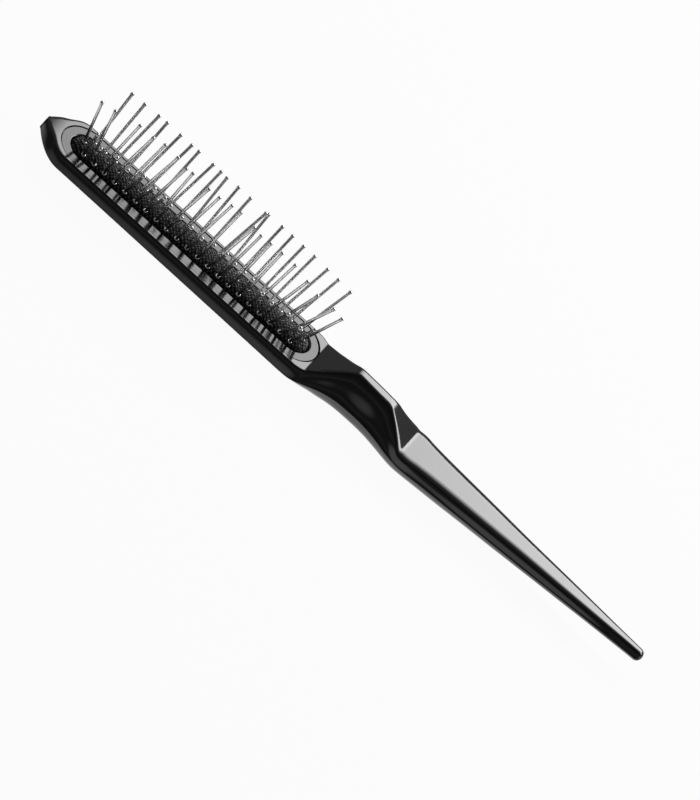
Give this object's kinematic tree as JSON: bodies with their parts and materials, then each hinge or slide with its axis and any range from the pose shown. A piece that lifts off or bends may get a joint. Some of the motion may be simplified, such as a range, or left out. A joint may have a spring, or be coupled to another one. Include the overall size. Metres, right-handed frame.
{
  "type": "cushion pin brush with tail handle",
  "caption": "Slim black salon brush: rows of steel pins in a woven cushion pad, a humped neck for thumb and finger, and a pointed tail handle.",
  "frame": {"origin": "on the flat land along the back of the head, below the middle of the pins", "axes": "+X along the brush from the nose to the tail, +Z the way the pins point, +Y across, with the left row at -Y; the brush lies on its back at Z = 0"},
  "size_m": [0.2363, 0.0326, 0.0282],
  "materials": {
    "body": "high gloss black",
    "bezel": "high gloss black",
    "pad": "open cross-woven textile on a rubber sheet, charcoal",
    "rubber": "matt black",
    "pins": "bright drawn wire"
  },
  "bodies": {
    "head": {"brush_body": "body", "bezel_plate": "bezel", "woven_pad": "pad", "pad_tray": "rubber"},
    "row_left": {"foot_strip_left": "rubber", "pin_left_01": "pins", "pin_left_02": "pins", "pin_left_03": "pins", "pin_left_04": "pins", "pin_left_05": "pins", "pin_left_06": "pins", "pin_left_07": "pins", "pin_left_08": "pins", "pin_left_09": "pins", "pin_left_10": "pins", "pin_left_11": "pins", "pin_left_12": "pins", "pin_left_13": "pins", "pin_left_14": "pins", "pin_left_15": "pins", "pin_left_16": "pins", "pin_left_17": "pins", "pin_left_18": "pins", "pin_left_19": "pins", "pin_left_20": "pins", "pin_left_21": "pins"},
    "row_middle": {"pin_row_middle": "pins"},
    "row_right": {"foot_strip_right": "rubber", "pin_right_01": "pins", "pin_right_02": "pins", "pin_right_03": "pins", "pin_right_04": "pins", "pin_right_05": "pins", "pin_right_06": "pins", "pin_right_07": "pins", "pin_right_08": "pins", "pin_right_09": "pins", "pin_right_10": "pins", "pin_right_11": "pins", "pin_right_12": "pins", "pin_right_13": "pins", "pin_right_14": "pins", "pin_right_15": "pins", "pin_right_16": "pins", "pin_right_17": "pins", "pin_right_18": "pins", "pin_right_19": "pins", "pin_right_20": "pins", "pin_right_21": "pins"}
  },
  "joints": [
    {"name": "rock_left", "type": "hinge", "parent": "head", "child": "row_left", "pos_m": [0, -0.00363, 0.0083], "axis": [1, 0, 0], "range_deg": [-6, 6], "stiffness_Nm_per_rad": 0.4},
    {"name": "rock_middle", "type": "hinge", "parent": "head", "child": "row_middle", "pos_m": [0, 0, 0.0083], "axis": [1, 0, 0], "range_deg": [-6, 6], "stiffness_Nm_per_rad": 0.4},
    {"name": "rock_right", "type": "hinge", "parent": "head", "child": "row_right", "pos_m": [0, 0.00363, 0.0083], "axis": [1, 0, 0], "range_deg": [-6, 6], "stiffness_Nm_per_rad": 0.4}
  ]
}
